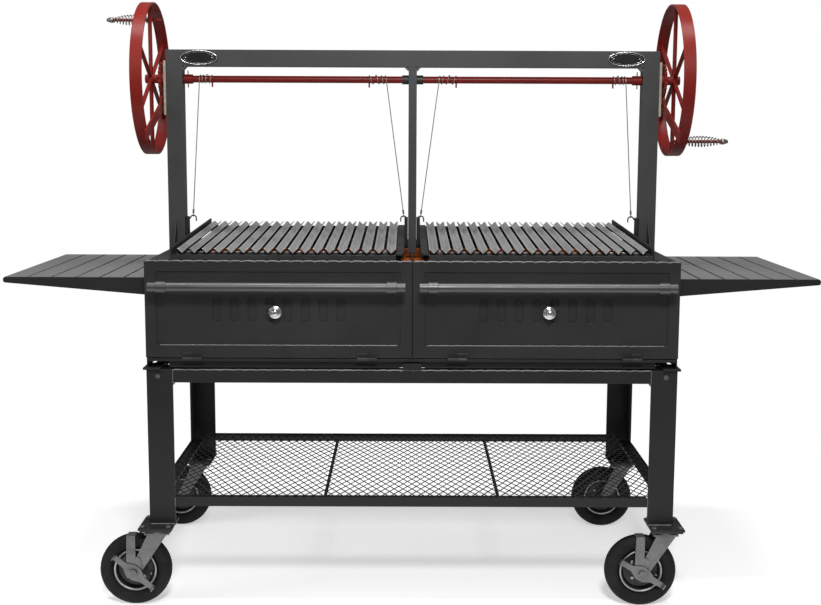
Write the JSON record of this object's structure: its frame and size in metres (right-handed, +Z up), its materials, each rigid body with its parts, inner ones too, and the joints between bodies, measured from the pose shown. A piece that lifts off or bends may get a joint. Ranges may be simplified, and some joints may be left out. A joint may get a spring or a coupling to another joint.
{
  "type": "wood-fired grill cart with crank-raised grates",
  "caption": "Two-bay firebox on a wheeled cart with side shelves; hand winches on an overhead frame raise V-bar grates.",
  "frame": {"origin": "centre of the bounding box's footprint, on the ground under the tyres", "axes": "+X along the grill's width to the right as seen by a cook facing the doors, +Y from the doors to the back, +Z up"},
  "size_m": [2.362, 0.9045, 1.7686],
  "materials": {
    "frame_black": "matte black powder coat",
    "door_black": "matte black powder coat",
    "slat_grey": "satin black powder coat",
    "mesh_black": "matte black powder coat",
    "grate_steel": "satin, slightly worn",
    "fire_brick": "rough",
    "winch_red": "satin red paint",
    "zinc_plate": "dull zinc plating",
    "bearing_plate": "dull beige zinc",
    "bush_black": "matte",
    "badge_black": "satin with a bright rim",
    "cable_steel": "wire rope",
    "spring_chrome": "bright",
    "knob_chrome": "polished",
    "tyre_black": "matte",
    "rim_grey": "satin grey"
  },
  "bodies": {
    "root": {"cart_legs": "frame_black", "cart_rails": "frame_black", "shelf_frame": "frame_black", "shelf_mesh": "mesh_black", "frame_brackets": "frame_black", "firebox_shell": "frame_black", "fire_bricks": "fire_brick", "frame_hinges": "frame_black", "side_shelf_frames": "frame_black", "side_shelf_slats": "slat_grey", "upper_frame": "frame_black", "badges": "badge_black", "winch_plates": "bearing_plate", "centre_bushes": "bush_black", "caster_plates": "zinc_plate", "fasteners": "zinc_plate", "lift_cables_left": "cable_steel", "lift_cables_right": "cable_steel"},
    "winch_left": {"winch_shaft_left": "winch_red", "ratchet_wheel_left": "winch_red", "flywheel_left": "winch_red", "crank_grip_left": "spring_chrome"},
    "pawl_left": {"pawl_lever_left": "winch_red"},
    "grate_left": {"v_bars_left": "grate_steel", "grate_frame_left": "frame_black", "drip_tray_left": "frame_black", "carriage_left": "frame_black"},
    "door_left": {"door_frame_left": "door_black", "door_panel_left": "door_black", "door_handle_left": "door_black"},
    "damper_left": {"damper_plate_left": "door_black", "damper_knob_left": "knob_chrome"},
    "winch_right": {"winch_shaft_right": "winch_red", "ratchet_wheel_right": "winch_red", "flywheel_right": "winch_red", "crank_grip_right": "spring_chrome"},
    "pawl_right": {"pawl_lever_right": "winch_red"},
    "grate_right": {"v_bars_right": "grate_steel", "grate_frame_right": "frame_black", "drip_tray_right": "frame_black", "carriage_right": "frame_black"},
    "door_right": {"door_frame_right": "door_black", "door_panel_right": "door_black", "door_handle_right": "door_black"},
    "damper_right": {"damper_plate_right": "door_black", "damper_knob_right": "knob_chrome"},
    "caster_front_left": {"caster_fork_front_left": "zinc_plate"},
    "wheel_front_left": {"tyre_front_left": "tyre_black", "wheel_rim_front_left": "rim_grey"},
    "brake_front_left": {"brake_pedal_front_left": "zinc_plate"},
    "caster_front_right": {"caster_fork_front_right": "zinc_plate"},
    "wheel_front_right": {"tyre_front_right": "tyre_black", "wheel_rim_front_right": "rim_grey"},
    "brake_front_right": {"brake_pedal_front_right": "zinc_plate"},
    "caster_rear_left": {"caster_fork_rear_left": "zinc_plate"},
    "wheel_rear_left": {"tyre_rear_left": "tyre_black", "wheel_rim_rear_left": "rim_grey"},
    "caster_rear_right": {"caster_fork_rear_right": "zinc_plate"},
    "wheel_rear_right": {"tyre_rear_right": "tyre_black", "wheel_rim_rear_right": "rim_grey"}
  },
  "joints": [
    {"name": "winch_turn_left", "type": "hinge", "parent": "root", "child": "winch_left", "pos_m": [-0.4, 0.03865, 1.5366], "axis": [-1, 0, 0], "range_deg": [0, 1791]},
    {"name": "grate_lift_left", "type": "slide", "parent": "root", "child": "grate_left", "axis": [0, 0, 1], "range_m": [0, 0.38], "deforming": ["lift_cables_left"]},
    {"name": "pawl_release_left", "type": "hinge", "parent": "root", "child": "pawl_left", "pos_m": [-0.776, 0.06465, 1.4666], "axis": [-1, 0, 0], "range_deg": [0, 20]},
    {"name": "door_drop_left", "type": "hinge", "parent": "root", "child": "door_left", "pos_m": [-0.381, -0.39175, 0.733], "axis": [1, 0, 0], "range_deg": [0, 160]},
    {"name": "damper_slide_left", "type": "slide", "parent": "door_left", "child": "damper_left", "axis": [-1, 0, 0], "range_m": [0, 0.025]},
    {"name": "winch_turn_right", "type": "hinge", "parent": "root", "child": "winch_right", "pos_m": [0.4, 0.03865, 1.5366], "axis": [-1, 0, 0], "range_deg": [0, 1791]},
    {"name": "grate_lift_right", "type": "slide", "parent": "root", "child": "grate_right", "axis": [0, 0, 1], "range_m": [0, 0.38], "deforming": ["lift_cables_right"]},
    {"name": "pawl_release_right", "type": "hinge", "parent": "root", "child": "pawl_right", "pos_m": [0.776, 0.06465, 1.4666], "axis": [-1, 0, 0], "range_deg": [0, 20]},
    {"name": "door_drop_right", "type": "hinge", "parent": "root", "child": "door_right", "pos_m": [0.381, -0.39175, 0.733], "axis": [1, 0, 0], "range_deg": [0, 160]},
    {"name": "damper_slide_right", "type": "slide", "parent": "door_right", "child": "damper_right", "axis": [1, 0, 0], "range_m": [0, 0.025]},
    {"name": "swivel_front_left", "type": "hinge", "parent": "root", "child": "caster_front_left", "pos_m": [-0.74, -0.36525, 0.24], "axis": [0, 0, 1], "continuous": true},
    {"name": "roll_front_left", "type": "hinge", "parent": "caster_front_left", "child": "wheel_front_left", "pos_m": [-0.808, -0.36525, 0.104], "axis": [0, 1, 0], "continuous": true},
    {"name": "brake_press_front_left", "type": "hinge", "parent": "caster_front_left", "child": "brake_front_left", "pos_m": [-0.808, -0.36525, 0.104], "axis": [0, 1, 0], "range_deg": [0, 20]},
    {"name": "swivel_front_right", "type": "hinge", "parent": "root", "child": "caster_front_right", "pos_m": [0.74, -0.36525, 0.24], "axis": [0, 0, 1], "continuous": true},
    {"name": "roll_front_right", "type": "hinge", "parent": "caster_front_right", "child": "wheel_front_right", "pos_m": [0.672, -0.36525, 0.104], "axis": [0, 1, 0], "continuous": true},
    {"name": "brake_press_front_right", "type": "hinge", "parent": "caster_front_right", "child": "brake_front_right", "pos_m": [0.672, -0.36525, 0.104], "axis": [0, 1, 0], "range_deg": [0, 20]},
    {"name": "swivel_rear_left", "type": "hinge", "parent": "root", "child": "caster_rear_left", "pos_m": [-0.74, 0.39175, 0.24], "axis": [0, 0, 1], "continuous": true},
    {"name": "roll_rear_left", "type": "hinge", "parent": "caster_rear_left", "child": "wheel_rear_left", "pos_m": [-0.808, 0.39175, 0.104], "axis": [0, 1, 0], "continuous": true},
    {"name": "swivel_rear_right", "type": "hinge", "parent": "root", "child": "caster_rear_right", "pos_m": [0.74, 0.39175, 0.24], "axis": [0, 0, 1], "continuous": true},
    {"name": "roll_rear_right", "type": "hinge", "parent": "caster_rear_right", "child": "wheel_rear_right", "pos_m": [0.672, 0.39175, 0.104], "axis": [0, 1, 0], "continuous": true}
  ],
  "couplings": [
    {"joint": "grate_lift_left", "follows": "winch_turn_left", "m_per_rad": 0.01215},
    {"joint": "grate_lift_right", "follows": "winch_turn_right", "m_per_rad": 0.01215}
  ]
}
